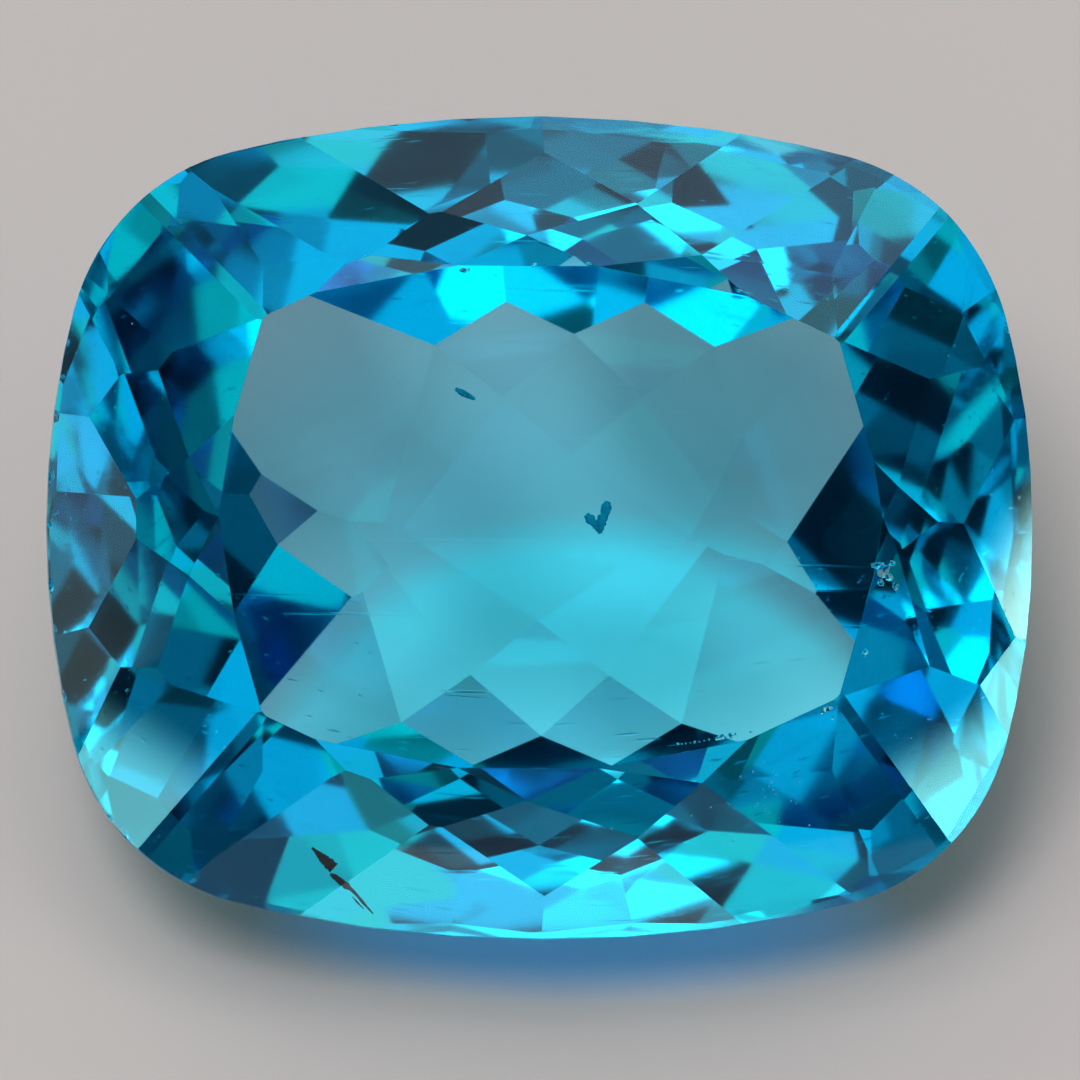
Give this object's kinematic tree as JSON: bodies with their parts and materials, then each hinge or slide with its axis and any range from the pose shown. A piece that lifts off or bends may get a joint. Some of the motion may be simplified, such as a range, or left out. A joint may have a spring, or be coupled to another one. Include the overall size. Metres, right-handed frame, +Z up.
{
  "type": "cut topaz gemstone",
  "caption": "Faceted cushion-cut topaz, clear sky blue, with a flat table, brilliant crown and chequered pavilion, lying on one pavilion facet.",
  "frame": {"origin": "middle of the bounding box's foot, level with the pavilion facet that the stone rests on", "axes": "+X along the stone's length, +Z up from the resting facet, and the table leans 29 degrees forward to -Y"},
  "size_m": [0.018, 0.0134, 0.0106],
  "materials": {
    "topaz": "polished, clear"
  },
  "bodies": {
    "root": {"topaz": "topaz"}
  },
  "joints": []
}
